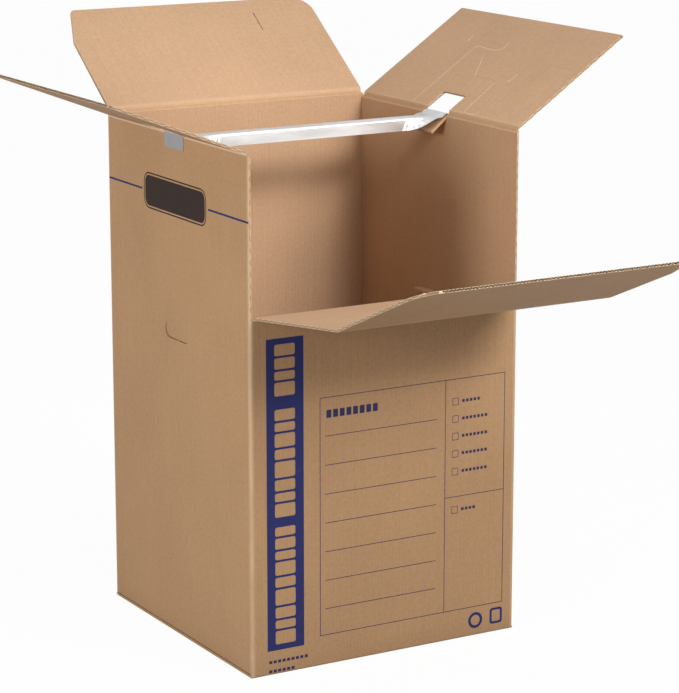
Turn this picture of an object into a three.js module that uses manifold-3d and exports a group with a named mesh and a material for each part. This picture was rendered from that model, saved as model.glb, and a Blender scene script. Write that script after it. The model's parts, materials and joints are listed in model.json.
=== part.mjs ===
// Wardrobe moving carton: a tall box of corrugated board that garments hang in.
// The front has an access door, hinged at a crease, with its own top flap above it.
// The left, right and rear walls carry a top flap each, and a formed steel bar hooks over the side walls.
// Millimetres, +Z up, the front faces -Y, and the origin is on the floor at the middle of the carton.

import * as THREE from "three";
import { mergeVertices } from "three/addons/utils/BufferGeometryUtils.js";
import Module from "manifold-3d";

const wasm = await Module();
wasm.setup();

// Driving dimensions of the carton
const outerWidth = 610; // left to right, outside
const outerDepth = 610; // front to rear, outside
const sideHeight = 1034; // floor to the crease of the side flaps
const doorCreaseHeight = 717; // floor to the crease that the door folds on
const board = 5; // thickness of the corrugated board
const foldRadius = 6; // outside radius of the upright folds
const bottomFoldRadius = 5; // outside radius of the folds under the walls
const layerGap = 0.4; // between two layers of board that lie on each other
const cutEdgeSetback = 1.5; // the side walls' cut front edges, behind the front face
const liner = 0.6; // thickness of each of the two papers that cover the flutes
const fluteSheet = 0.5; // thickness of the waved paper between them
const flutePitch = 8; // from one wave to the next
const fluteDepth = 6; // how deep the open ends of the flutes go in at a free edge

// The bottom: two outer flaps, and two inner flaps on top of them
const bottomSeam = 1.6; // slot where two bottom flaps meet
const bottomSeamOffset = 12; // the outer seam, behind the middle of the floor
const bottomFlapInset = 1; // the outer flaps' ends, inside the side walls' faces
const innerFlapInset = 3; // the inner flaps' ends, off the front and rear walls

// The glued lap that closes the tube, inside the rear left corner
const lapWidth = 35;
const lapThickness = 3;
const lapEndGap = 25; // left free at the lap's top and bottom

// Creases: each flap turns about a line just outside the outer face
const creaseProud = 0.15; // the turning line, outside the board's outer face
const creaseGap = 0.3; // from the turning line to the board on each side of it
const creaseBevel = 46; // degrees, how far the crushed inner side leans away from the fold

// Top flaps
const meetingGap = 3; // between two closed flaps that meet over the middle
const sideFlapEndGap = 1.5; // a closed side flap, off the walls at its two ends
const endFlapSideInset = 4; // the rear flap's and door flap's sides, inside the walls' faces
const sideFlapCorner = 2; // corner radius of the two side flaps
const roundCorner = 45; // the large corner of the rear flap and the door flap
const taperCorner = 12; // their other corner, where the side tapers
const taperStart = 205; // from the crease to where the side begins to taper
const taperInset = 30; // how far the taper comes in at the free edge
const cornerSteps = 6; // facets of a rounded corner
const slitPlace = 150; // of the finger slit in the two end flaps, off their middle
const slitStart = 205; // from the crease to the slit
const slitLength = 57;
const slitWidth = 2;

// Cut lines in each side flap, for tucking the flaps into one another.
// Each place is given along the crease from the flap's middle, and away from the crease.
const cutWidth = 1;
const longCut = [
  [105, 9],
  [105, 188],
  [103, 196],
  [96, 200],
  [62, 197],
  [33, 196],
  [14, 201],
  [11, 211],
  [12, 222],
];
const tongueCut = [[49, 178], [2, 114]];
const hookCut = [
  [-83, 106],
  [-89, 20],
  [-92, 12],
  [-99, 9],
  [-127, 9],
  [-133, 12],
  [-135, 20],
];
const shortCuts = [
  [[149, 207], [153, 217], [150, 227]],
  [[-118, 115], [-124, 129], [-121, 142]],
];
const perforationLine = [[-4, 114], [-79, 112]];
const perforationCuts = 7; // in that line
const perforationShare = 0.5; // cut length over cut and bridge together

// The access door
const doorSideGap = 3; // between the door and each side wall

// Fold angles at rest, in degrees above the level that points away from the carton
const leftFlapAngle = 21;
const rightFlapAngle = 34;
const rearFlapAngle = 36;
const doorAngle = 7;
const doorFlapAngle = 23;

// The slots at the side creases that the bar's ends pass through, and the tabs folded out of them
const slotWidth = 84; // along the crease
const slotLength = 54; // away from the crease
const tabSideGap = 1; // between the tab and each side of its slot
const tabDrop = 39; // degrees that the tab hangs below level, inside the carton

// Hand holes in the side walls
const handHoleWidth = 102;
const handHoleHeight = 32;
const handHoleCentre = 634; // above the floor
const handHoleKerf = 1.2; // the cut around the pressed-in piece
const handHoleRoot = 2; // how far the piece reaches into the wall that it is folded from
const leftHandFold = 5; // degrees that the left piece is pushed in
const rightHandFold = 96; // degrees that the right piece is folded in

// The hanger bar, one strip of steel
const barGauge = 1;
const barStripWidth = 80;
const barChannelWidth = 34; // outside, across the folded part
const barBendRadius = 4; // of the folds along the channel, at the middle of the gauge
const barClearance = 0.35; // under the closed flaps, and over the creases that carry the bar
const barRise = 9; // length of the slope from the channel up to the crease
const barHookRadius = 1.5; // of the bend down outside the wall, at the middle of the gauge
const barHookDrop = 30; // how far the hook plate reaches below the crease
const barFlatEnd = 12; // from the wall's inner face to where the flanges begin to turn down
const barFlareLength = 80; // length over which the flanges turn down
const barFlareSteps = 8;
const barBendSteps = 4; // facets across each long fold
const barHookSteps = 3; // half the facets of each bend in the bar's length

// Colours
const kraft = new THREE.MeshStandardMaterial({ color: 0xb08a5c, roughness: 0.86, metalness: 0 });
const kraftInside = new THREE.MeshStandardMaterial({ color: 0xb78f68, roughness: 0.9, metalness: 0 });
const steel = new THREE.MeshStandardMaterial({ color: 0xc9ccd2, roughness: 0.32, metalness: 1 });

// Values that follow from the ones above
const halfWidth = outerWidth / 2;
const halfDepth = outerDepth / 2;
const radians = THREE.MathUtils.degToRad;
const bevelRun = Math.tan(radians(creaseBevel)); // rise of the crushed inner side for each unit of thickness
const hookTop = barClearance + barGauge; // the bar's upper face over the side crease
// the crease of the rear flap and of the door flap, high enough for them to close over the side flaps
const endHeight = sideHeight + hookTop + barClearance + creaseProud + board;
const innerFloor = 2 * board + layerGap; // the carton's inside floor
const overshoot = 2; // how far a cutting shape runs past what it cuts

// Joining and cutting of closed solids

function toSolid(geometry) {
  const bare = geometry.index ? geometry.toNonIndexed() : geometry.clone();
  bare.deleteAttribute("normal");
  bare.deleteAttribute("uv");
  const merged = mergeVertices(bare, 1e-4);
  return new wasm.Manifold(
    new wasm.Mesh({
      numProp: 3,
      vertProperties: merged.attributes.position.array,
      triVerts: new Uint32Array(merged.index.array),
    }),
  );
}

function toGeometry(solid) {
  const mesh = solid.getMesh();
  const geometry = new THREE.BufferGeometry();
  geometry.setAttribute("position", new THREE.BufferAttribute(mesh.vertProperties, 3));
  geometry.setIndex(new THREE.BufferAttribute(mesh.triVerts, 1));
  geometry.computeVertexNormals();
  return geometry;
}

function block(x0, x1, y0, y1, z0, z1) {
  const geometry = new THREE.BoxGeometry(x1 - x0, y1 - y0, z1 - z0);
  geometry.translate((x0 + x1) / 2, (y0 + y1) / 2, (z0 + z1) / 2);
  return toSolid(geometry);
}

// A shape drawn in a plane and given a thickness along the plane's third direction.
function plate(shape, low, high, steps = cornerSteps) {
  const geometry = new THREE.ExtrudeGeometry(shape, {
    depth: high - low,
    bevelEnabled: false,
    curveSegments: steps,
  });
  geometry.translate(0, 0, low);
  return geometry;
}

function polygon(points) {
  return new THREE.Shape(points.map(([x, y]) => new THREE.Vector2(x, y)));
}

// A profile drawn as (inward, up) at a wall, swept along the wall between two places.
// The front wall is drawn as it stands; turn places it on the rear or a side wall.
function wallSweep(points, from, to, face, turn) {
  const geometry = plate(polygon(points), from, to);
  // (x, y, z) of the drawing becomes (along the wall, inward, up)
  geometry.applyMatrix4(
    new THREE.Matrix4().makeBasis(
      new THREE.Vector3(0, 1, 0),
      new THREE.Vector3(0, 0, 1),
      new THREE.Vector3(1, 0, 0),
    ),
  );
  geometry.translate(0, -face, 0);
  geometry.rotateZ(turn);
  return toSolid(geometry);
}

// How each wall is turned from the front wall, and how far its outer face is from the middle.
const walls = {
  front: { turn: 0, face: halfDepth },
  right: { turn: Math.PI / 2, face: halfWidth },
  rear: { turn: Math.PI, face: halfDepth },
  left: { turn: -Math.PI / 2, face: halfWidth },
};

function roundedRectangle(width, depth, radius) {
  const shape = new THREE.Shape();
  const x = width / 2 - radius;
  const y = depth / 2 - radius;
  shape.absarc(x, y, radius, 0, Math.PI / 2, false);
  shape.absarc(-x, y, radius, Math.PI / 2, Math.PI, false);
  shape.absarc(-x, -y, radius, Math.PI, 1.5 * Math.PI, false);
  shape.absarc(x, -y, radius, 1.5 * Math.PI, 2 * Math.PI, false);
  return shape;
}

// The part of a square edge that lies outside a rounded one, drawn as (inward, up).
function edgeWaste(radius, height) {
  const points = [
    [-overshoot, height - overshoot],
    [radius, height - overshoot],
  ];
  for (let i = 0; i <= cornerSteps; i++) {
    const angle = (-Math.PI / 2) * (1 + i / cornerSteps);
    points.push([radius + radius * Math.cos(angle), height + radius + radius * Math.sin(angle)]);
  }
  points.push([-overshoot, height + radius]);
  return points;
}

// What is cut off the top of a wall at its crease: everything above the bevelled edge.
function creaseWaste(height, top) {
  const edge = height - creaseGap;
  const deep = board + overshoot;
  return [
    [-overshoot, edge],
    [0, edge],
    [deep, edge - deep * bevelRun],
    [deep, top],
    [-overshoot, top],
  ];
}

// Carton

function wallTube() {
  const shape = roundedRectangle(outerWidth, outerDepth, foldRadius);
  const inside = new THREE.Path();
  const x = halfWidth - board;
  const y = halfDepth - board;
  inside.moveTo(-x, -y);
  inside.lineTo(-x, y);
  inside.lineTo(x, y);
  inside.lineTo(x, -y);
  inside.closePath();
  shape.holes.push(inside);
  return toSolid(plate(shape, 0, endHeight, cornerSteps / 2));
}

function trimWalls(tube) {
  const top = endHeight + overshoot;
  const inX = halfWidth - board;
  const inY = halfDepth - board;
  let walled = tube;
  for (const side of ["left", "right"]) {
    const { turn, face } = walls[side];
    const towardsRear = side === "left" ? -1 : 1;
    const rearEnd = towardsRear * inY;
    const frontEnd = -towardsRear * (halfDepth + overshoot);
    const along = [Math.min(rearEnd, frontEnd), Math.max(rearEnd, frontEnd)];
    walled = walled.subtract(wallSweep(creaseWaste(sideHeight, top), ...along, face, turn));
  }
  const rearSpan = halfWidth + overshoot;
  walled = walled.subtract(
    wallSweep(creaseWaste(endHeight, top), -rearSpan, rearSpan, halfDepth, walls.rear.turn),
  );
  walled = walled.subtract(
    wallSweep(creaseWaste(doorCreaseHeight, top), -inX, inX, halfDepth, walls.front.turn),
  );
  const front = -halfDepth - overshoot;
  const setback = -halfDepth + cutEdgeSetback;
  return walled.subtract(
    block(-rearSpan, rearSpan, front, setback, doorCreaseHeight - creaseGap, top),
  );
}

// The side walls start above the outer bottom flaps, and every wall turns under in a rounded fold.
function foldBottom(walled) {
  const inX = halfWidth - board;
  const inY = halfDepth - board;
  const innerStart = board + layerGap;
  let folded = walled
    .subtract(block(-halfWidth - overshoot, -inX, -inY, inY, -overshoot, innerStart))
    .subtract(block(inX, halfWidth + overshoot, -inY, inY, -overshoot, innerStart));
  const flapEnd = halfWidth - bottomFlapInset;
  const seamFront = bottomSeamOffset - bottomSeam / 2;
  const seamRear = bottomSeamOffset + bottomSeam / 2;
  folded = folded
    .add(block(-flapEnd, flapEnd, -halfDepth, seamFront, 0, board))
    .add(block(-flapEnd, flapEnd, seamRear, halfDepth, 0, board));
  const innerEnd = inY - innerFlapInset;
  folded = folded
    .add(block(-halfWidth, -bottomSeam / 2, -innerEnd, innerEnd, innerStart, innerFloor))
    .add(block(bottomSeam / 2, halfWidth, -innerEnd, innerEnd, innerStart, innerFloor));
  for (const name of ["front", "rear"]) {
    const { turn, face } = walls[name];
    const span = halfWidth + overshoot;
    folded = folded.subtract(wallSweep(edgeWaste(bottomFoldRadius, 0), -span, span, face, turn));
  }
  for (const name of ["left", "right"]) {
    const { turn, face } = walls[name];
    const waste = edgeWaste(bottomFoldRadius, innerStart);
    const clipped = waste.map(([inward, up]) => [inward, Math.max(up, innerStart - layerGap / 2)]);
    folded = folded.subtract(wallSweep(clipped, -inY, inY, face, turn));
  }
  return folded;
}

function gluedLap() {
  const x = -halfWidth + board;
  const y = halfDepth - board;
  return block(x, x + lapWidth, y - lapThickness, y, innerFloor + lapEndGap, sideHeight - lapEndGap);
}

// A point of a folded piece: v along the board from the turning line, w out of its outer face,
// with the fold in degrees above the level that points into the carton.
function foldedPoint(v, w, fold, height) {
  const angle = radians(fold);
  const inward = -creaseProud + v * Math.cos(angle) - w * Math.sin(angle);
  return [inward, height + v * Math.sin(angle) + w * Math.cos(angle)];
}

// The tab of a bar slot, folded over the crease and down inside the wall.
// Its crushed inner side is kept within the wall's outer face.
function barTab(name) {
  const { turn, face } = walls[name];
  const outer = -creaseProud;
  const inner = -creaseProud - board;
  const drop = radians(tabDrop);
  const crushedStart = (creaseProud - inner * Math.sin(drop)) / Math.cos(drop);
  const profile = [
    [creaseGap, outer],
    [crushedStart, inner],
    [slotLength, inner],
    [slotLength, outer],
  ]
    .map(([v, w]) => foldedPoint(v, w, -tabDrop, sideHeight))
    .map(([inward, up]) => [Math.max(0, inward), up]);
  const half = slotWidth / 2 - tabSideGap;
  return wallSweep(profile, -half, half, face, turn);
}

// A rounded slot drawn round the middle of its top edge, which lies on y = 0.
function stadium(width, height, rise) {
  const r = height / 2;
  const x = width / 2 - r;
  const shape = new THREE.Shape();
  shape.moveTo(-x, 0);
  shape.absarc(-x, -r, r, Math.PI / 2, 1.5 * Math.PI, false);
  shape.absarc(x, -r, r, -Math.PI / 2, Math.PI / 2, false);
  if (rise > 0) {
    shape.lineTo(x, rise);
    shape.lineTo(-x, rise);
  }
  shape.closePath();
  return shape;
}

// A hand hole in a side wall: the hole, and the piece that stays folded in at its top edge.
function cutHandHole(carton, name, fold) {
  const { turn, face } = walls[name];
  const upright = new THREE.Matrix4().makeRotationX(Math.PI / 2);
  const place = new THREE.Matrix4()
    .makeRotationZ(turn)
    .multiply(new THREE.Matrix4().makeTranslation(0, -face, handHoleCentre + handHoleHeight / 2));
  const hole = plate(stadium(handHoleWidth, handHoleHeight, 0), -board - overshoot, overshoot);
  hole.applyMatrix4(upright).applyMatrix4(place);
  const inset = 2 * handHoleKerf;
  const pressed = plate(
    stadium(handHoleWidth - inset, handHoleHeight - handHoleKerf, handHoleRoot),
    -board,
    0,
  );
  const tilt = new THREE.Matrix4().makeRotationX(radians(fold));
  pressed.applyMatrix4(upright).applyMatrix4(tilt).applyMatrix4(place);
  const span = handHoleWidth;
  const outside = wallSweep(
    [
      [-handHoleHeight, handHoleCentre - handHoleHeight],
      [0, handHoleCentre - handHoleHeight],
      [0, handHoleCentre + handHoleHeight],
      [-handHoleHeight, handHoleCentre + handHoleHeight],
    ],
    -span,
    span,
    face,
    turn,
  );
  return carton.subtract(toSolid(hole)).add(toSolid(pressed).subtract(outside));
}

function cartonSolid() {
  let carton = foldBottom(trimWalls(wallTube())).add(gluedLap());
  carton = carton.add(barTab("left")).add(barTab("right"));
  carton = cutHandHole(carton, "left", leftHandFold);
  return cutHandHole(carton, "right", rightHandFold);
}

// Flaps. Each is drawn flat: u along the crease, v away from it, and its outer face just under w = 0.

const sideFlapLength = halfWidth - meetingGap / 2;
const endFlapLength = halfDepth - meetingGap / 2;
const doorLength = endHeight - doorCreaseHeight;

// Takes the crushed bevel off the inner side of the board, at a crease where the board starts.
function creaseBevelWaste(halfSpan) {
  const deep = board + overshoot;
  const profile = polygon([
    [creaseGap, -creaseProud],
    [creaseGap - overshoot, -creaseProud],
    [creaseGap - overshoot, -creaseProud - deep],
    [creaseGap + deep * bevelRun, -creaseProud - deep],
  ]);
  const span = halfSpan + overshoot;
  const geometry = plate(profile, -span, span);
  // (x, y, z) of the drawing becomes (v, w, u)
  geometry.applyMatrix4(
    new THREE.Matrix4().makeBasis(
      new THREE.Vector3(0, 1, 0),
      new THREE.Vector3(0, 0, 1),
      new THREE.Vector3(1, 0, 0),
    ),
  );
  return geometry;
}

function boardSolid(outline) {
  return toSolid(plate(outline, -creaseProud - board, -creaseProud));
}

// Cuts right through a flap, one for each of the shapes given.
function throughCuts(shapes) {
  return toSolid(plate(shapes, -creaseProud - board - overshoot, overshoot));
}

// A narrow band of even width along a line of places, for a cut.
function band(places, width) {
  const line = places.map(([u, v]) => new THREE.Vector2(u, v));
  const sides = line.map((point, i) => {
    const into = point.clone().sub(line[Math.max(0, i - 1)]).normalize();
    const outOf = line[Math.min(line.length - 1, i + 1)].clone().sub(point).normalize();
    const along = into.add(outOf).normalize();
    return new THREE.Vector2(-along.y, along.x).multiplyScalar(width / 2);
  });
  const left = line.map((point, i) => point.clone().add(sides[i]));
  const right = line.map((point, i) => point.clone().sub(sides[i]));
  return new THREE.Shape([...left, ...right.reverse()]);
}

// The short cuts of the perforated line, evenly spaced with board left between them.
function perforation() {
  const [start, end] = perforationLine.map(([u, v]) => new THREE.Vector2(u, v));
  const cuts = [];
  for (let i = 0; i < perforationCuts; i++) {
    const from = start.clone().lerp(end, i / perforationCuts);
    const to = start.clone().lerp(end, (i + perforationShare) / perforationCuts);
    cuts.push(band([from.toArray(), to.toArray()], cutWidth));
  }
  return cuts;
}

function tuckCuts() {
  const lines = [longCut, tongueCut, hookCut, ...shortCuts];
  return throughCuts([...lines.map((places) => band(places, cutWidth)), ...perforation()]);
}

// The open ends of the flutes along a free edge: three-sided pockets that point up and down in turn,
// with the waved paper left standing between them.
function fluteEnds(from, to, free) {
  const low = -creaseProud - board + liner;
  const high = -creaseProud - liner;
  const spacing = flutePitch / 2;
  const lean = Math.atan2(high - low, spacing);
  const halfBase = spacing - fluteSheet / 2 / Math.sin(lean);
  const tall = ((high - low) * halfBase) / spacing;
  const count = Math.floor((to - from) / spacing) - 1;
  const first = (from + to) / 2 - ((count - 1) / 2) * spacing;
  const pockets = [];
  for (let i = 0; i < count; i++) {
    const u = first + i * spacing;
    const [base, tip] = i % 2 === 0 ? [low, low + tall] : [high, high - tall];
    pockets.push(
      polygon([
        [u - halfBase, base],
        [u + halfBase, base],
        [u, tip],
      ]),
    );
  }
  const comb = plate(pockets, -free - overshoot, -free + fluteDepth);
  comb.rotateX(Math.PI / 2);
  return toSolid(comb);
}

// A side flap: a rectangle with the bar slot open at its crease, and the cuts for tucking.
function sideFlapSolid() {
  const half = halfDepth - board - sideFlapEndGap;
  const free = sideFlapLength - creaseProud;
  const r = sideFlapCorner;
  const outline = new THREE.Shape();
  outline.moveTo(-half, creaseGap);
  outline.lineTo(-slotWidth / 2, creaseGap);
  outline.lineTo(-slotWidth / 2, slotLength);
  outline.lineTo(slotWidth / 2, slotLength);
  outline.lineTo(slotWidth / 2, creaseGap);
  outline.lineTo(half, creaseGap);
  outline.absarc(half - r, free - r, r, 0, Math.PI / 2, false);
  outline.absarc(-half + r, free - r, r, Math.PI / 2, Math.PI, false);
  outline.closePath();
  return boardSolid(outline)
    .subtract(toSolid(creaseBevelWaste(half)))
    .subtract(tuckCuts())
    .subtract(fluteEnds(-half + r, half - r, free));
}

// The rear flap and the door's flap share one outline: a large round corner, a tapered side and a slit.
function endFlapSolid() {
  const half = halfWidth - endFlapSideInset;
  const free = endFlapLength - creaseProud;
  const lean = Math.atan2(taperInset, free - taperStart);
  const r = taperCorner;
  // centre of the small corner, so that its arc meets both the taper and the free edge
  const cornerV = free - r;
  const cornerU = half - (cornerV - taperStart) * Math.tan(lean) - r / Math.cos(lean);
  const outline = new THREE.Shape();
  outline.moveTo(-half, creaseGap);
  outline.lineTo(half, creaseGap);
  outline.lineTo(half, taperStart);
  outline.absarc(cornerU, cornerV, r, lean, Math.PI / 2, false);
  outline.absarc(-half + roundCorner, free - roundCorner, roundCorner, Math.PI / 2, Math.PI, false);
  outline.closePath();
  const slit = band(
    [
      [-slitPlace, slitStart],
      [-slitPlace, slitStart + slitLength],
    ],
    slitWidth,
  );
  return boardSolid(outline)
    .subtract(toSolid(creaseBevelWaste(half)))
    .subtract(throughCuts([slit]))
    .subtract(fluteEnds(-half + roundCorner, cornerU, free));
}

// The door: bevelled at its own crease, and again where its flap folds off it.
function doorSolid() {
  const half = halfWidth - board - doorSideGap;
  const outline = polygon([
    [-half, creaseGap],
    [half, creaseGap],
    [half, doorLength - creaseGap],
    [-half, doorLength - creaseGap],
  ]);
  const farBevel = creaseBevelWaste(half);
  farBevel.rotateZ(Math.PI);
  farBevel.translate(0, doorLength, 0);
  return boardSolid(outline).subtract(toSolid(creaseBevelWaste(half))).subtract(toSolid(farBevel));
}

// Hanger bar

// The bar's line, drawn as (across the carton, up) from the tip of the left hook to the right one,
// with a station wherever the section changes.
function barStations() {
  const level = sideHeight - creaseProud - board - barClearance - barGauge / 2;
  const crest = sideHeight + barClearance + barGauge / 2;
  const hookX = halfWidth + creaseProud + barClearance + barGauge / 2;
  const tip = crest - barHookDrop;
  const wallInside = halfWidth - board;
  const r = barHookRadius;
  const half = new THREE.Path();
  half.moveTo(0, level);
  const flareStart = wallInside - barFlatEnd - barFlareLength;
  for (let i = 0; i <= barFlareSteps; i++) {
    half.lineTo(flareStart + (barFlareLength * i) / barFlareSteps, level);
  }
  half.lineTo(wallInside - barRise, level);
  half.lineTo(wallInside, crest);
  half.lineTo(hookX - r, crest);
  half.absarc(hookX - r, crest - r, r, Math.PI / 2, 0, true);
  half.lineTo(hookX, tip);
  const isNew = (point, i, all) => i === 0 || point.distanceTo(all[i - 1]) > 1e-6;
  const right = half.getPoints(barHookSteps).filter(isNew);
  const left = right.slice(1).map((p) => new THREE.Vector2(-p.x, p.y));
  return [...left.reverse(), ...right];
}

// How far the flanges are turned down at a distance from the middle, in radians.
function flangeTurn(x) {
  const fromWall = halfWidth - board - Math.abs(x);
  const share = THREE.MathUtils.smoothstep(fromWall, barFlatEnd, barFlatEnd + barFlareLength);
  return (share * Math.PI) / 2;
}

// Places across the flat strip where the section has a corner.
function stripPlaces() {
  const flat = barChannelWidth / 2 - barGauge / 2 - barBendRadius;
  const bend = (barBendRadius * Math.PI) / 2;
  const half = [flat];
  for (let i = 1; i <= barBendSteps; i++) {
    half.push(flat + (bend * i) / barBendSteps);
  }
  half.push(barStripWidth / 2);
  return [...half.map((q) => -q).reverse(), ...half];
}

// A place on the strip after its flanges are turned: sideways, up, and the slope of the surface there.
function sectionPoint(q, turn) {
  const flat = barChannelWidth / 2 - barGauge / 2 - barBendRadius;
  const bend = (barBendRadius * Math.PI) / 2;
  const beyond = Math.max(0, Math.abs(q) - flat);
  const inBend = Math.min(beyond, bend);
  const slope = (turn * inBend) / bend;
  const radius = turn > 1e-6 ? bend / turn : 0;
  const past = beyond - inBend;
  const acrossBend = radius > 0 ? radius * Math.sin(slope) : inBend;
  const downBend = radius > 0 ? radius * (1 - Math.cos(slope)) : 0;
  const across = Math.min(Math.abs(q), flat) + acrossBend + past * Math.cos(slope);
  const down = downBend + past * Math.sin(slope);
  const side = Math.sign(q);
  return { across: side * across, down, slope: side * slope };
}

function hangerBarGeometry() {
  const stations = barStations();
  const places = stripPlaces();
  const geometry = new THREE.BoxGeometry(1, 1, 1, stations.length - 1, places.length - 1, 1);
  const position = geometry.attributes.position;
  for (let i = 0; i < position.count; i++) {
    const s = Math.round((position.getX(i) + 0.5) * (stations.length - 1));
    const q = places[Math.round((position.getY(i) + 0.5) * (places.length - 1))];
    const side = Math.sign(position.getZ(i));
    const here = stations[s];
    const before = stations[Math.max(0, s - 1)];
    const after = stations[Math.min(stations.length - 1, s + 1)];
    const into = here.clone().sub(before).normalize();
    const outOf = after.clone().sub(here).normalize();
    const along = into.clone().add(outOf).normalize();
    const upward = new THREE.Vector2(-along.y, along.x);
    // at a corner of the line the offset is longer, so that the gauge stays even
    const reach = s > 0 && s < stations.length - 1 ? 1 / along.dot(into) : 1;
    const { across, down, slope } = sectionPoint(q, flangeTurn(here.x));
    const offset = (side * barGauge) / 2;
    const lift = (-down + offset * Math.cos(slope)) * reach;
    const sideways = across + offset * Math.sin(slope);
    position.setXYZ(i, here.x + upward.x * lift, sideways, here.y + upward.y * lift);
  }
  return toGeometry(toSolid(geometry));
}

// Assembly

// A group that stands at a wall's crease, turned so that its flap points the way it is folded.
function creaseGroup(name, height, fold) {
  const { turn, face } = walls[name];
  const wall = new THREE.Group();
  wall.rotation.z = turn;
  const crease = new THREE.Group();
  crease.position.set(0, -face - creaseProud, height);
  crease.rotation.x = radians(fold);
  wall.add(crease);
  return { wall, crease };
}

function named(name, geometry, material) {
  const mesh = new THREE.Mesh(geometry, material);
  mesh.name = name;
  return mesh;
}

const wardrobeCarton = new THREE.Group();
wardrobeCarton.add(named("carton", toGeometry(cartonSolid()), kraft));
wardrobeCarton.add(named("hanger_bar", hangerBarGeometry(), steel));

const topFlaps = [
  { name: "left_flap", wall: "left", height: sideHeight, rise: leftFlapAngle, solid: sideFlapSolid },
  { name: "right_flap", wall: "right", height: sideHeight, rise: rightFlapAngle, solid: sideFlapSolid },
  { name: "rear_flap", wall: "rear", height: endHeight, rise: rearFlapAngle, solid: endFlapSolid },
];
for (const flap of topFlaps) {
  const { wall, crease } = creaseGroup(flap.wall, flap.height, 180 - flap.rise);
  crease.add(named(flap.name, toGeometry(flap.solid()), kraftInside));
  wardrobeCarton.add(wall);
}

const door = creaseGroup("front", doorCreaseHeight, 180 - doorAngle);
door.crease.add(named("front_door", toGeometry(doorSolid()), kraftInside));
const doorFlap = new THREE.Group();
doorFlap.position.set(0, doorLength, 0);
doorFlap.rotation.x = radians(doorAngle - doorFlapAngle);
doorFlap.add(named("door_flap", toGeometry(endFlapSolid()), kraftInside));
door.crease.add(doorFlap);
wardrobeCarton.add(door.wall);

export default wardrobeCarton;
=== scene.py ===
# %% [markdown]
# # A wardrobe moving box
#
# A tall carton of corrugated board stands open, with a steel bar across it that clothes hang from.
# The carton, its flaps and the bar come ready made as a fixed frame, in metres.
# This lesson lights them, gives each one its real surface, and adds what is printed on the board.

# %% The model that everything is built around
import json
import math

import bpy
from mathutils import Matrix, Vector


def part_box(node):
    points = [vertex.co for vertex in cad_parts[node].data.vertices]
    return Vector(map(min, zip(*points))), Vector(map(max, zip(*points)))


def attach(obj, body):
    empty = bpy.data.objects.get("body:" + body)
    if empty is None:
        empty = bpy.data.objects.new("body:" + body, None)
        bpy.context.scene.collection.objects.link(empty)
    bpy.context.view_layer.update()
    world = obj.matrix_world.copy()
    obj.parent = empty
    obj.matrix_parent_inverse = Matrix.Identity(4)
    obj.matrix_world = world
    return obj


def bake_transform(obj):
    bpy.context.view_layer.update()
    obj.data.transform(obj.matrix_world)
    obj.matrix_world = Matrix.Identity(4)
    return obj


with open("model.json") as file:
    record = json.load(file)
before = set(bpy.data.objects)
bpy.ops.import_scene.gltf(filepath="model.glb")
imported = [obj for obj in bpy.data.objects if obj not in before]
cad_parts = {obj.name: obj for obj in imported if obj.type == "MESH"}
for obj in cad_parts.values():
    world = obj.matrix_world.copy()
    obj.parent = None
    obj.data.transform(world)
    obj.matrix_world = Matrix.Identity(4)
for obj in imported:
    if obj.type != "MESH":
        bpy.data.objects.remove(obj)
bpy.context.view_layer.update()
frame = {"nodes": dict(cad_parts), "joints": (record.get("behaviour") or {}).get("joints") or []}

nodes = frame["nodes"]
joints = {joint["name"]: joint for joint in frame["joints"]}
print("nodes:", sorted(nodes))

# %% [markdown]
# The camera stands to the left of the front and looks a little down, so that the front, the left
# wall and the inside show together. A long lens from more than five metres away keeps the upright
# edges nearly parallel.

# %% Camera
camera_data = bpy.data.cameras.new("camera")
camera_data.lens = 141.9
camera_data.sensor_width = 36
camera_data.clip_end = 60
camera = bpy.data.objects.new("camera", camera_data)
bpy.context.collection.objects.link(camera)
look_down, look_right = 13.11, 30.21
camera.location = (-2.697, -4.7521, 1.8427)
camera.rotation_euler = (math.radians(90 - look_down), 0, math.radians(-look_right))
bpy.context.scene.camera = camera
print("camera at", tuple(camera.location), "with a", camera_data.lens, "mm lens")

# %% [markdown]
# The light is that of a studio with white walls. A lamp on the left lights the left wall and
# reaches inside only along the front edge of the right wall. A lamp on the right of the front
# reaches the rear wall through the open door, and a soft one overhead lights the flaps. With the
# pale surroundings they add up to about the level at which a colour comes out as it is written.

# %% Lamps
scene = bpy.context.scene
scene.view_settings.view_transform = "Standard"
middle = (0, 0, 0.7)


def lamp(name, kind, place, target, watts, colour=(1, 1, 1)):
    data = bpy.data.lights.new(name, kind)
    data.energy = watts
    data.color = colour
    obj = bpy.data.objects.new(name, data)
    bpy.context.collection.objects.link(obj)
    obj.location = place
    obj.rotation_euler = (Vector(target) - Vector(place)).to_track_quat("-Z", "Y").to_euler()
    return data


def round_lamp(name, place, size, watts, colour=(1, 1, 1)):
    """A round lamp, size across, that faces the middle of the box."""
    data = lamp(name, "AREA", place, middle, watts, colour)
    data.shape = "DISK"
    data.size = size


round_lamp("left_lamp", (-4.0, -1.25, 1.7), 1.2, 80, (1, 0.98, 0.95))
round_lamp("front_lamp", (1.5, -4.2, 3.1), 1.6, 115, (1, 0.985, 0.97))
round_lamp("top_lamp", (0.3, -1.3, 4.5), 2.0, 32)
print("three lamps aimed at", middle)

# %% [markdown]
# A narrow lamp fills the inside, as a photographer does with a snoot: its cone passes through the
# open door and ends on the rear wall, with a soft rim. It is wide, so the bar's shadow is faint.

# %% Lamp for the inside
inside_lamp = lamp(
    "inside_lamp", "SPOT", (0.4, -3.6, 2.7), (-0.03, 0.3, 0.82), 600, (1, 0.985, 0.98)
)
inside_lamp.spot_size = math.radians(13)
inside_lamp.spot_blend = 0.9
inside_lamp.shadow_soft_size = 0.5
print("inside lamp with a cone of", round(math.degrees(inside_lamp.spot_size)), "degrees")

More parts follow.
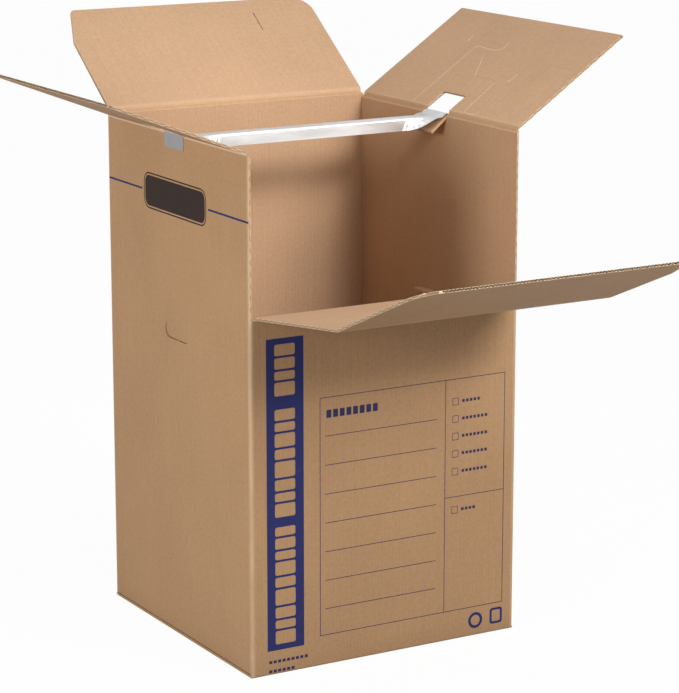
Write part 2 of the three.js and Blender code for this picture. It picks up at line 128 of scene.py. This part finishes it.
# %% [markdown]
# A shader is a small sum, and it reads best when it is written as one. The class below wraps an
# output of a node, so that + - * / < > after such a value add the Math nodes that do the same.

# %% Shader values that can be written as sums


class Value:
    """One output of a shader node, with the arithmetic that adds Math nodes."""

    def __init__(self, shader, socket):
        self.shader = shader
        self.socket = socket

    def math(self, operation, other=None, third=None):
        inputs = [value for value in (self, other, third) if value is not None]
        return self.shader.node("ShaderNodeMath", dict(enumerate(inputs)), operation=operation)

    def __add__(self, other):
        return self.math("ADD", other)

    def __sub__(self, other):
        return self.math("SUBTRACT", other)

    def __rsub__(self, other):
        return self.math("MULTIPLY_ADD", -1.0, other)

    def __mul__(self, other):
        return self.math("MULTIPLY", other)

    def __truediv__(self, other):
        return self.math("DIVIDE", other)

    def __gt__(self, other):
        return self.math("GREATER_THAN", other)

    def __lt__(self, other):
        return self.math("LESS_THAN", other)

    def size(self):
        return self.math("ABSOLUTE")

    def rise(self, low, high):
        """0 below low, 1 above high, and smooth between them."""
        return self.shader.node(
            "ShaderNodeMapRange",
            {"Value": self, "From Min": low, "From Max": high},
            interpolation_type="SMOOTHSTEP",
        )


class Shader:
    """The node tree of one material."""

    def __init__(self, name):
        self.material = bpy.data.materials.new(name)
        self.material.use_nodes = True
        self.tree = self.material.node_tree
        self.tree.nodes.clear()

    def node(self, kind, inputs=None, output=0, **settings):
        """Adds a node: its settings first, then what its sockets hold or are linked to."""
        made = self.tree.nodes.new(kind)
        for key, setting in settings.items():
            if key == "stops":
                ramp = made.color_ramp
                while len(ramp.elements) < len(setting):
                    ramp.elements.new(0.5)
                for element, (position, colour) in zip(ramp.elements, setting):
                    element.position = position
                    element.color = (*colour, 1)
            else:
                setattr(made, key, setting)
        for key, value in (inputs or {}).items():
            socket = made.inputs[key]
            if isinstance(value, Value):
                self.tree.links.new(value.socket, socket)
            elif isinstance(value, (tuple, list)) and len(socket.default_value) == 4:
                socket.default_value = (*value[:3], 1)
            else:
                socket.default_value = value
        return Value(self, made.outputs[output]) if made.outputs else None

    def object_place(self):
        return self.node("ShaderNodeTexCoord", output="Object")

    def object_normal(self):
        return self.node("ShaderNodeTexCoord", output="Normal")

    def vector(self, operation, first, second, output=0):
        return self.node("ShaderNodeVectorMath", {0: first, 1: second}, output, operation=operation)

    def dot(self, vector, direction):
        return self.vector("DOT_PRODUCT", vector, direction, "Value")

    def noise(self, vector, scale, detail=2.0, roughness=0.5):
        return self.node(
            "ShaderNodeTexNoise",
            {"Vector": vector, "Scale": scale, "Detail": detail, "Roughness": roughness},
        )

    def mix(self, factor, first, second):
        """A colour between two others."""
        inputs = {0: factor, 6: first, 7: second}
        return self.node("ShaderNodeMix", inputs, 2, data_type="RGBA", blend_type="MIX")

    def surface(self, colour, roughness, height, strength, distance=0.0002, **fixed):
        """Ends the tree in a Principled surface, with a bump from a height."""
        bump = {"Height": height, "Strength": strength, "Distance": distance}
        normal = self.node("ShaderNodeBump", bump)
        inputs = {"Base Color": colour, "Roughness": roughness, "Normal": normal, **fixed}
        shaded = self.node("ShaderNodeBsdfPrincipled", inputs)
        self.node("ShaderNodeOutputMaterial", {"Surface": shaded})
        return self.material


print("shader values ready")

# %% [markdown]
# The floor and the air around the box are the white of a studio sweep. Rays that the camera, a
# reflection or a transparent surface sends out see plain white, and the light on the box is weaker
# than that, so that the board keeps its colour. The floor still takes a soft shadow.

# %% Surroundings
ambient = 0.30
backdrop_share = 0.92


def sees_backdrop(shader):
    kinds = ("Is Camera Ray", "Is Glossy Ray", "Is Transmission Ray")
    rays = [shader.node("ShaderNodeLightPath", output=kind) for kind in kinds]
    return rays[0].math("MAXIMUM", rays[1]).math("MAXIMUM", rays[2])


world = bpy.data.worlds.new("studio")
scene.world = world
world.use_nodes = True
air = Shader("air")
bpy.data.materials.remove(air.material)
air.tree = world.node_tree
air.tree.nodes.clear()
level = sees_backdrop(air) * (1 - ambient) + ambient
glow = air.node("ShaderNodeBackground", {"Color": (1, 1, 1), "Strength": level})
air.node("ShaderNodeOutputWorld", {"Surface": glow})

bpy.ops.object.select_all(action="DESELECT")
bpy.ops.mesh.primitive_plane_add(size=40, location=(0, 0, -0.0005))
floor = bpy.context.object
floor.name = "floor"
pale = Shader("pale_floor")
grey = (0.37, 0.37, 0.38)
matt = pale.node("ShaderNodeBsdfPrincipled", {"Base Color": grey, "Roughness": 0.9})
white = pale.node("ShaderNodeEmission", {"Color": (1, 1, 1), "Strength": 1.05})
share = sees_backdrop(pale) * backdrop_share
seen = pale.node("ShaderNodeMixShader", {0: share, 1: matt, 2: white})
pale.node("ShaderNodeOutputMaterial", {"Surface": seen})
floor.data.materials.append(pale.material)
print("floor of", floor.dimensions[0], "m")

# %% [markdown]
# Corrugated board is two kraft liners with a waved paper between them. The liner is brown, matt and
# cloudy, with short fibres pressed along the paper, and the flutes behind it show as faint stripes,
# a bump with a little painted shade. Where the board is cut, the pale edges of both liners stand
# out against the hollows of the flutes, which are painted dark as painted shade.
#
# Each board has its own three directions: along its crease, away from it, and out of its face. The
# pattern is worked out in those directions, so the same recipe serves every flap and the walls.

# %% Kraft board
board = 0.005
flute_pitch = 0.008
flute_turn = 2 * math.pi / flute_pitch

outside_brown = (0.50, 0.295, 0.148)
inside_brown = (0.54, 0.338, 0.198)
cut_paper = (0.80, 0.60, 0.40)
# The last colour is painted shade for the hollows of the flutes.
flute_shade = (0.25, 0.15, 0.08)


def paper_tone(shader, place, along, away, base):
    """The clouds, fibres and faint stripes of a kraft liner: its colour and its height."""
    clouds = shader.noise(place, 5, 2)
    mottle = shader.noise(place, 160, 4, 0.65)
    grain = shader.node("ShaderNodeCombineXYZ", {0: along * 250, 1: away * 1300})
    fibres = shader.noise(grain, 1, 3, 0.7)
    stripe = (along * flute_turn).math("SINE")
    streak_place = shader.node("ShaderNodeCombineXYZ", {0: along * 240, 1: away * 4})
    streaks = shader.noise(streak_place, 1, 2)
    shade = (clouds - 0.5) * 0.20 + (mottle - 0.5) * 0.38 + (fibres - 0.5) * 0.22
    # The stripe term darkens the colour a little along the flutes, as painted shade of the
    # washboard; in the height it is a bump.
    shade = shade + stripe * 0.012 + (streaks - 0.5) * 0.14
    dark = tuple(value * 0.55 for value in base)
    light = tuple(min(1, value * 1.4) for value in base)
    colour = shader.node(
        "ShaderNodeValToRGB",
        {0: shade + 0.5},
        stops=[(0.1, dark), (0.5, base), (0.9, light)],
    )
    speck = shader.noise(place, 420, 1).rise(0.70, 0.76)
    colour = shader.mix(speck * 0.45, colour, dark)
    height = fibres * 0.35 + mottle * 0.3 + stripe * 0.22
    return colour, height


def cut_edge(shader, depth, run, colour):
    """A cut edge, with depth from 0 at the inner liner to 1 at the outer one; the hollows of the
    flutes are painted shade.
    """
    wave = (run * 0.35 * flute_turn).math("SINE") * 0.3 + 0.5
    waved_sheet = (depth - wave).size() < 0.09
    liners = (depth - 0.5).size() > 0.37
    sheet = waved_sheet.math("MAXIMUM", liners)
    return shader.mix(sheet * 0.75 + 0.12, flute_shade, colour)


def kraft_surface(shader, colour, height):
    roughness = 0.74 - height * 0.12
    return shader.surface(colour, roughness, height, 0.35, **{"Specular IOR Level": 0.45})


print("kraft recipe ready")

# %% [markdown]
# The carton's walls stand square to each other, so the direction of a face says which wall it is
# on. Its upright folds are pressed hard and rub pale, and its lowest five centimetres get a little
# darker towards the floor.

# %% The carton's board
carton_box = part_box("carton")
half_width = carton_box[1][0]
half_depth = carton_box[1][1]
door_crease = 0.717
fold_start, fold_end = half_width - 0.011, half_width - 0.003
cut_setback = 0.004
foot_height = 0.05


def carton_board():
    shader = Shader("kraft_carton")
    place = shader.object_place()
    normal = shader.object_normal()
    x, y, z = (shader.dot(place, axis) for axis in ((1, 0, 0), (0, 1, 0), (0, 0, 1)))
    nx, ny, nz = (shader.dot(normal, axis) for axis in ((1, 0, 0), (0, 1, 0), (0, 0, 1)))
    on_side = nx.size() > 0.7
    level_face = nz.size() > 0.9
    along = y * on_side + x * (1 - on_side)
    away = z * (1 - level_face) + y * level_face
    wall = x.size().math("MAXIMUM", y.size())
    inside = wall < (half_width - board * 0.6)
    outer, height = paper_tone(shader, place, along, away, outside_brown)
    inner, _ = paper_tone(shader, place, along, away, inside_brown)
    colour = shader.mix(inside, outer, inner)
    corner = x.size().math("MINIMUM", y.size())
    rub_place = shader.vector("MULTIPLY", place, (60, 60, 9))
    rub = shader.noise(rub_place, 1, 3).rise(0.25, 0.7)
    pressed = corner.rise(fold_start, fold_end) * (1 - inside)
    colour = shader.mix(pressed * (rub * 0.3 + 0.25), colour, cut_paper)
    # On the cut edges beside the open door the flutes show, their hollows painted dark as painted
    # shade.
    cut_face = (ny < -0.9) * (y < -(half_depth - cut_setback)) * (z > door_crease - 0.001)
    cut_face = cut_face * (corner > half_width - board - 0.0002)
    depth = (x.size() - (half_width - board)) / board
    colour = shader.mix(cut_face, colour, cut_edge(shader, depth, z, cut_paper))
    foot = 1 - z.rise(0.0, foot_height)
    colour = shader.mix(foot * 0.18, colour, flute_shade)
    return kraft_surface(shader, colour, height)


def coat(node_name, material):
    data = nodes[node_name].data
    data.materials.clear()
    data.materials.append(material)


coat("carton", carton_board())
print("carton board on", nodes["carton"].name)

# %% [markdown]
# A flap's crease is a joint, so the joint says where the flap starts and which way its crease runs.
# The angle by which the flap rises from level at rest then gives its other two directions.

# %% The flaps' board
lean = {
    "left_flap": ("left_flap_fold", 21),
    "right_flap": ("right_flap_fold", 34),
    "rear_flap": ("rear_flap_fold", 36),
    "front_door": ("front_door_fold", 7),
    "door_flap": ("door_flap_fold", 23),
}
flap_reach = {name: 0.30335 for name in lean}
flap_reach["front_door"] = 0.32355
face_drop = 0.00015
end_slack = 0.0003
flute_opening = 0.0075


def flap_frame(name):
    """Crease point, direction along the crease, away from it, and out of the outer face."""
    joint_name, rise = lean[name]
    joint = joints[joint_name]
    crease = Vector(joint["pos_m"])
    axis = Vector(joint["axis"]).normalized()
    level = Vector((axis.y, -axis.x, 0))
    away = level * math.cos(math.radians(rise)) + Vector((0, 0, math.sin(math.radians(rise))))
    return crease, axis, away, axis.cross(away)


def flap_board(name):
    crease, *directions = flap_frame(name)
    shader = Shader("kraft_" + name)
    place = shader.object_place()
    normal = shader.object_normal()
    offset = shader.vector("SUBTRACT", place, tuple(crease))
    along, away, out = (shader.dot(offset, tuple(direction)) for direction in directions)
    facing = shader.dot(normal, tuple(directions[2]))
    depth = (out + (board + face_drop)) / board
    outer, height = paper_tone(shader, place, along, away, outside_brown)
    inner, _ = paper_tone(shader, place, along, away, inside_brown)
    colour = shader.mix(depth < 0.5, outer, inner)
    crease_mark = 1 - away.rise(0.004, 0.012)
    colour = shader.mix(crease_mark * 0.25, colour, cut_paper)
    # Cut edges show the flutes, their hollows painted dark as painted shade.
    cut_face = facing.size() < 0.5
    colour = shader.mix(cut_face, colour, cut_edge(shader, depth, away, cut_paper))
    end = flap_reach[name] - end_slack
    colour = shader.mix(away > end, colour, cut_paper)
    if name != "front_door":
        # Near the free end the open flutes are painted dark, as painted shade in their hollows.
        liners = (depth - 0.5).size() > 0.39
        opening = away > flap_reach[name] - flute_opening
        flute_hollow_shade = opening * (away < end) * (1 - liners)
        colour = shader.mix(flute_hollow_shade, colour, flute_shade)
    return kraft_surface(shader, colour, height)


for name in lean:
    coat(name, flap_board(name))
    print("board on", name, [round(value, 3) for value in flap_frame(name)[2]])

# %% [markdown]
# At a crease the board isn't cut: its outer liner runs on from the wall to the flap. The frame
# leaves a hair of air there so that the flap can turn, so a strip of liner closes it. The strip is
# a plane on the wall, extruded along the flap from the line where it turns, and it bends between
# the two.

# %% Liner over the creases
liner_lift = 0.00006
liner_reach = 0.003
liner_thickness = 0.0001


def liner_strip(name, flap, below, from_along, to_along):
    """A strip along a crease, from just below it on one board to just past it on the flap."""
    crease, axis, away, outward = flap_frame(flap)
    start = crease + below * liner_reach
    end = crease + away * liner_reach - outward * (face_drop - liner_lift)
    bpy.ops.object.select_all(action="DESELECT")
    bpy.ops.mesh.primitive_plane_add(size=1)
    strip = bpy.context.object
    strip.name = name
    across = (crease - start).normalized()
    turn = Matrix((axis, across, axis.cross(across))).transposed().to_4x4()
    centre = crease + axis * (from_along + to_along) / 2 + (start - crease) / 2
    scale = Matrix.Diagonal((to_along - from_along, liner_reach, 1, 1))
    strip.data.transform(Matrix.Translation(centre) @ turn @ scale)
    bpy.ops.object.mode_set(mode="EDIT")
    bpy.ops.mesh.select_mode(type="EDGE")
    bpy.ops.mesh.select_all(action="DESELECT")
    bpy.ops.object.mode_set(mode="OBJECT")
    for edge in strip.data.edges:
        ends = [strip.data.vertices[i].co - crease for i in edge.vertices]
        edge.select = all(abs(point.dot(across)) < 1e-4 for point in ends)
    bpy.ops.object.mode_set(mode="EDIT")
    bpy.ops.mesh.extrude_region_move(TRANSFORM_OT_translate={"value": tuple(end - crease)})
    bpy.ops.object.mode_set(mode="OBJECT")
    thickness = strip.modifiers.new("paper", "SOLIDIFY")
    thickness.thickness = liner_thickness
    thickness.offset = 0
    bpy.ops.object.modifier_apply(modifier=thickness.name)
    strip.data.materials.append(nodes[flap].data.materials[0])
    tuple(crease + below * 0.001)
    tuple(crease + away * 0.001)
    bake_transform(strip)
    print(name, "is", round(to_along - from_along, 3), "m long")


down = Vector((0, 0, -1))
door_down = -flap_frame("front_door")[2]
slot_half, side_half, rear_half, door_half = 0.0425, 0.298, 0.3005, 0.2965
for side in ("left", "right"):
    flap = side + "_flap"
    bodies = ("carton", flap)
    liner_strip(side + "_crease_rear", flap, down, -side_half, -slot_half)
    liner_strip(side + "_crease_front", flap, down, slot_half, side_half)
for name, bodies, below, half in (
    ("rear_crease", ("carton", "rear_flap"), down, rear_half),
    ("door_crease", ("carton", "front_door"), down, door_half),
    ("door_flap_crease", ("front_door", "door_flap"), door_down, door_half),
):
    liner_strip(name, bodies[1], below, -half, half)

# %% [markdown]
# The side flaps are die cut, so that one can be tucked into the other. The knife pushes the pale
# inner paper up into a small lip, and that lip is what the eye sees of a cut. Each lip is a curve
# along its cut with a round section, made a mesh and laid in the flap's inner face.
#
# The cuts are given in millimetres, along the crease and away from it.

# %% Lips of the cuts in the side flaps
millimetre = 0.001
lip_radius = 0.0007
lip_depth = lip_radius * 0.75
long_cut = [(105, 9), (105, 188), (103, 196), (96, 200), (62, 197)]
hook_cut = [(-83, 106), (-89, 20), (-92, 12), (-99, 9), (-127, 9), (-133, 12), (-135, 20)]
cuts = [
    [*long_cut, (33, 196), (14, 201), (11, 211), (12, 222)],
    [(49, 178), (2, 114)],
    hook_cut,
    [(149, 207), (153, 217), (150, 227)],
    [(-118, 115), (-124, 129), (-121, 142)],
]


def torn_paper():
    shader = Shader("torn_paper")
    fuzz = shader.noise(shader.object_place(), 700, 3, 0.7)
    colour = shader.mix(fuzz, (0.78, 0.59, 0.40), (0.97, 0.86, 0.70))
    return shader.surface(colour, 0.9, fuzz, 0.4)


lip_paper = torn_paper()


def lips(flap):
    crease, axis, away, outward = flap_frame(flap)
    curve = bpy.data.curves.new(flap + "_cut_lips", "CURVE")
    curve.dimensions = "3D"
    curve.bevel_depth = lip_radius
    curve.bevel_resolution = 1
    curve.use_fill_caps = True
    sunk = crease - outward * (board + face_drop - lip_depth)
    for cut in cuts:
        spline = curve.splines.new("POLY")
        spline.points.add(len(cut) - 1)
        for point, (along, out) in zip(spline.points, cut):
            place = sunk + axis * along * millimetre + away * out * millimetre
            point.co = (*place, 1)
    bpy.ops.object.select_all(action="DESELECT")
    made = bpy.data.objects.new(flap + "_cut_lips", curve)
    bpy.context.collection.objects.link(made)
    made.select_set(True)
    bpy.context.view_layer.objects.active = made
    bpy.ops.object.convert(target="MESH")
    made = bpy.context.object
    made.data.materials.append(lip_paper)
    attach(made, flap)
    print(made.name, "has", len(made.data.polygons), "faces")


lips("left_flap")
lips("right_flap")

# %% [markdown]
# The bar is folded from zinc coated sheet. Zinc is bright, with a soft sheen, faint lines along the
# strip from the rollers, and a cloudy bloom. Its top and its ends are painted darker, as painted
# shade.

# %% The bar's zinc
zinc_grey, zinc_white = (0.64, 0.645, 0.65), (0.80, 0.805, 0.81)
# The last two greys are painted shade: the bar's top and its ends are painted darker than the zinc.
zinc_top_painted_shade, zinc_end_painted_shade = (0.50, 0.505, 0.51), (0.30, 0.30, 0.31)


def zinc():
    shader = Shader("zinc_sheet")
    place = shader.object_place()
    lines = shader.noise(shader.vector("MULTIPLY", place, (5, 900, 300)), 1, 2)
    bloom = shader.noise(shader.vector("MULTIPLY", place, (9, 45, 45)), 1, 3)
    colour = shader.mix(bloom.rise(0.3, 0.7), zinc_grey, zinc_white)
    normal = shader.object_normal()
    # The top is painted darker, as painted shade.
    painted_top_shade = shader.dot(normal, (0, 0, 1)).rise(0.6, 0.95)
    colour = shader.mix(painted_top_shade * 0.6, colour, zinc_top_painted_shade)
    # The ends are painted much darker, as painted shade.
    painted_end_shade = shader.dot(normal, (1, 0, 0)).size().rise(0.5, 0.95)
    colour = shader.mix(painted_end_shade, colour, zinc_end_painted_shade)
    roughness = lines * 0.18 + bloom * 0.1 + 0.26
    return shader.surface(colour, roughness, lines, 0.12, 0.0001, Metallic=1.0)


coat("hanger_bar", zinc())
print("zinc on the bar")

# %% [markdown]
# The print is a thin film of ink. It is made as real film, six hundredths of a millimetre thick, so
# that its thin rules stay sharp from near and far. Each mark starts as a block, and the marks of
# one colour are joined to one piece.
#
# Where wording would be, there are rows of plain blocks.

# %% Ink and how a mark is made
film = 0.00006
cutter_reach = 0.002
front_face = -half_depth


def ink(name, tone, worn):
    shader = Shader(name)
    place = shader.object_place()
    pores = shader.noise(place, 900, 3, 0.7).rise(0.60, 0.78)
    clouds = shader.noise(place, 60, 2)
    thin = pores * worn + (clouds - 0.5) * 0.18
    colour = shader.mix(thin.math("MAXIMUM", 0.02), tone, outside_brown)
    roughness = clouds * 0.15 + 0.7
    return shader.surface(colour, roughness, pores, 0.15, **{"Specular IOR Level": 0.15})


band_ink = ink("band_ink", (0.022, 0.032, 0.15), 0.25)
rule_ink = ink("rule_ink", (0.030, 0.034, 0.105), 0.45)
badge_ink = ink("badge_ink", (0.028, 0.020, 0.020), 0.3)


def block(low, high):
    """A closed block between two corners, as its own object."""
    bpy.ops.object.select_all(action="DESELECT")
    centre = [(a + b) / 2 for a, b in zip(low, high)]
    bpy.ops.mesh.primitive_cube_add(size=1, location=centre)
    made = bpy.context.object
    made.scale = [b - a for a, b in zip(low, high)]
    bpy.ops.object.transform_apply(location=True, rotation=True, scale=True)
    return made


def round_corners(obj, radius, through):
    """Rounds the edges that run through the film, given the axis that they follow."""
    bpy.ops.object.select_all(action="DESELECT")
    obj.select_set(True)
    bpy.context.view_layer.objects.active = obj
    bpy.ops.object.mode_set(mode="EDIT")
    bpy.ops.mesh.select_mode(type="EDGE")
    bpy.ops.mesh.select_all(action="DESELECT")
    bpy.ops.object.mode_set(mode="OBJECT")
    for edge in obj.data.edges:
        ends = [obj.data.vertices[i].co for i in edge.vertices]
        edge.select = abs((ends[1] - ends[0]).normalized()[through]) > 0.9
    bpy.ops.object.mode_set(mode="EDIT")
    bpy.ops.mesh.bevel(offset=radius, segments=5, affect="EDGES")
    bpy.ops.object.mode_set(mode="OBJECT")
    return obj


def joined(name, pieces):
    bpy.ops.object.select_all(action="DESELECT")
    for piece in pieces:
        piece.select_set(True)
    bpy.context.view_layer.objects.active = pieces[0]
    bpy.ops.object.join()
    result = bpy.context.object
    result.name = name
    return result


def cut_out(obj, cutter):
    """Takes one solid out of another and removes the cutter."""
    bpy.ops.object.select_all(action="DESELECT")
    obj.select_set(True)
    bpy.context.view_layer.objects.active = obj
    modifier = obj.modifiers.new("cut", "BOOLEAN")
    modifier.operation = "DIFFERENCE"
    modifier.object = cutter
    bpy.ops.object.modifier_apply(modifier=modifier.name)
    bpy.data.objects.remove(cutter)
    return obj


def print_piece(obj, material):
    obj.data.materials.clear()
    obj.data.materials.append(material)
    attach(obj, "carton")
    print(obj.name, "has", len(obj.data.polygons), "faces")


print("ink film of", film * 1000, "mm")

# %% [markdown]
# The front wall carries a tall band near its left edge. Three rows of blocks are knocked out of it.
#
# On the front, places are given in millimetres from the wall's left edge and from the floor.

# %% The band on the front


def front_block(left, right, low, high, front, rear):
    x0, x1 = (value * millimetre - half_width for value in (left, right))
    z0, z1 = (value * millimetre for value in (low, high))
    return block((x0, front, z0), (x1, rear, z1))


def front_mark(left, right, low, high, rise=film):
    """A block of film on the front wall."""
    return front_block(left, right, low, high, front_face - rise, front_face)


def knock_out(low, high):
    """The solid that takes one rounded block out of the band."""
    ends = (front_face - cutter_reach, front_face + cutter_reach)
    return round_corners(front_block(block_left, block_right, low, high, *ends), 0.004, 1)


block_left, block_right = 53, 98
block_lengths = (27, 17, 22, 32, 20)
block_gap = 4.5
shortest_block = 12
rows = [(62, 300), (320, 540), (562, 664)]
windows = []
for low, end in rows:
    for length in block_lengths * 3:
        high = min(low + length, end)
        if high - low > shortest_block:
            windows.append(knock_out(low, high))
        low = high + block_gap
band = cut_out(front_mark(35, 117, 50, 676), joined("windows", windows))
band.name = "front_band"
print_piece(band, band_ink)

# %% [markdown]
# Beside the band is a ruled panel for a list of what is inside, with check boxes in its own column.

# %% The ruled panel
line = 1.4
panel_left, panel_right, panel_low, panel_high = 153, 583, 62, 547
divider = 441
column_rule = 302
write_left, write_right = 165, 421
write_lines = [116 + 58.7 * step for step in range(7)]
box_left, box_size, box_line = 458, 15, 1.2
box_levels = (500, 464, 428, 392, 355, 275)
label_counts = (5, 7, 7, 7, 7, 4)


def outline(left, right, low, high, width):
    return [
        front_mark(left, right, low, low + width),
        front_mark(left, right, high - width, high),
        front_mark(left, left + width, low + width, high - width),
        front_mark(right - width, right, low + width, high - width),
    ]


def word(left, level, count, pitch, width, height):
    """A row of plain blocks in the place of a word."""
    starts = [left + step * pitch for step in range(count)]
    low, high = level - height / 2, level + height / 2
    return [front_mark(start, start + width, low, high) for start in starts]


rules = outline(panel_left, panel_right, panel_low, panel_high, line)
rules.append(front_mark(divider, divider + line, panel_low + line, panel_high - line))
rules.append(front_mark(divider + line, panel_right - line, column_rule, column_rule + line))
for level in write_lines:
    rules.append(front_mark(write_left, write_right, level, level + line))
for level, count in zip(box_levels, label_counts):
    low, high = level - box_size / 2, level + box_size / 2
    rules += outline(box_left, box_left + box_size, low, high, box_line)
    rules += word(481, level, count, 9, 6, 6)
rules += word(168, 513, 8, 15, 11, 16)
rules += word(38, 27, 9, 10, 7, 6)
rules += word(38, 8, 6, 10, 7, 6)
print_piece(joined("front_rules", rules), rule_ink)

# %% [markdown]
# Two small plain signs stand under the panel: a ring, and a square with rounded corners.

# %% Signs
def disc(centre_x, centre_z, centre_y, radius, depth):
    bpy.ops.object.select_all(action="DESELECT")
    place = (centre_x - half_width, centre_y, centre_z)
    upright = (math.pi / 2, 0, 0)
    bpy.ops.mesh.primitive_cylinder_add(
        vertices=48, radius=radius, depth=depth, location=place, rotation=upright
    )
    bpy.ops.object.transform_apply(location=True, rotation=True, scale=True)
    return bpy.context.object


ring = disc(0.518, 0.033, front_face - film / 2, 0.017, film)
ring_hole = disc(0.518, 0.033, front_face, 0.011, cutter_reach)
square = round_corners(front_mark(553, 583, 18, 52), 0.006, 1)
square_hole = round_corners(front_mark(558, 578, 23, 47, cutter_reach), 0.003, 1)
signs = [cut_out(ring, ring_hole), cut_out(square, square_hole)]
print_piece(joined("front_signs", signs), band_ink)

# %% [markdown]
# The left wall has a thin line round its upper part, broken by a plain plate with a double outline.

# %% Line and plate on the left wall
def left_mark(front, rear, low, high, rise=film):
    """A block of film on the left wall, given in metres along Y and above the floor."""
    return block((-half_width - rise, front, low), (-half_width, rear, high))


line_low, line_high = 0.903, 0.907
line_front, line_rear = -half_depth + 0.0015, half_depth - 0.006
line_gap = 0.008
plate_front = -half_depth + 0.283 * 2 * half_depth
plate_rear = -half_depth + 0.727 * 2 * half_depth
plate_low, plate_high = 0.868, 0.942
plate_radius = 0.022
line_ends = [
    left_mark(line_front, plate_front - line_gap, line_low, line_high),
    left_mark(plate_rear + line_gap, line_rear, line_low, line_high),
]


def plate(inset, rise=film):
    low, high = plate_low + inset, plate_high - inset
    made = left_mark(plate_front + inset, plate_rear - inset, low, high, rise)
    return round_corners(made, plate_radius - inset, 0)


print_piece(joined("side_line", line_ends), band_ink)
rim = cut_out(plate(0), plate(0.003, cutter_reach))
field = plate(0.006)
print_piece(joined("side_plate", [rim, field]), badge_ink)
